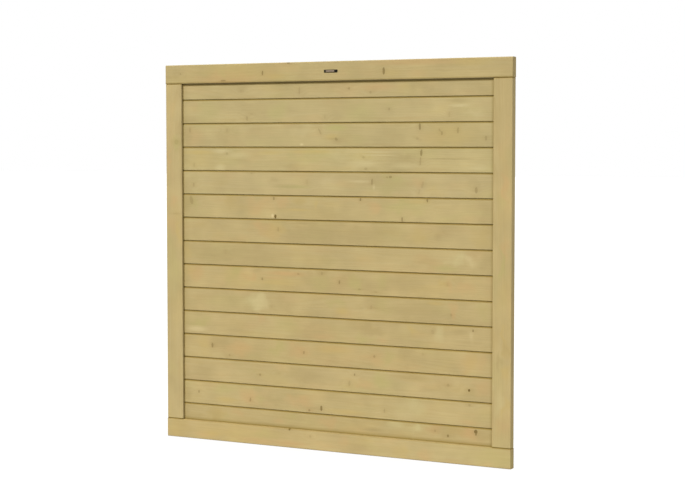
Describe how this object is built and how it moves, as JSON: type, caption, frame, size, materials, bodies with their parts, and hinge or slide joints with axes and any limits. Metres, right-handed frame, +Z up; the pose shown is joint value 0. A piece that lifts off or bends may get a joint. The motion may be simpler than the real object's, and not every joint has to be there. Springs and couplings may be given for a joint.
{
  "type": "garden screen panel",
  "caption": "Square wooden garden screen panel: a grooved frame closed by level tongue and groove boards, to stand between two posts.",
  "frame": {"origin": "middle of the left stile's outer side, the flat face that is fastened to a post", "axes": "+X along the panel from the left post to the right one, +Y from the front face to the back, +Z up"},
  "size_m": [1.8, 0.0403, 1.8],
  "materials": {
    "frame_wood": "planed pine, pale green and yellow from pressure treatment",
    "board_wood": "planed pine boards, pale green and yellow from pressure treatment",
    "screw_steel": "dull zinc plated",
    "plate": "black, satin",
    "pin_steel": "dull zinc plated"
  },
  "bodies": {
    "root": {"top_rail": "frame_wood", "bottom_rail": "frame_wood", "left_stile": "frame_wood", "right_stile": "frame_wood", "board_01": "board_wood", "board_02": "board_wood", "board_03": "board_wood", "board_04": "board_wood", "board_05": "board_wood", "board_06": "board_wood", "board_07": "board_wood", "board_08": "board_wood", "board_09": "board_wood", "board_10": "board_wood", "board_11": "board_wood", "board_12": "board_wood", "board_13": "board_wood", "board_14": "board_wood", "board_15": "board_wood", "top_left_screws": "screw_steel", "top_right_screws": "screw_steel", "bottom_left_screws": "screw_steel", "bottom_right_screws": "screw_steel", "name_plate": "plate", "plate_pins": "pin_steel"}
  },
  "joints": []
}
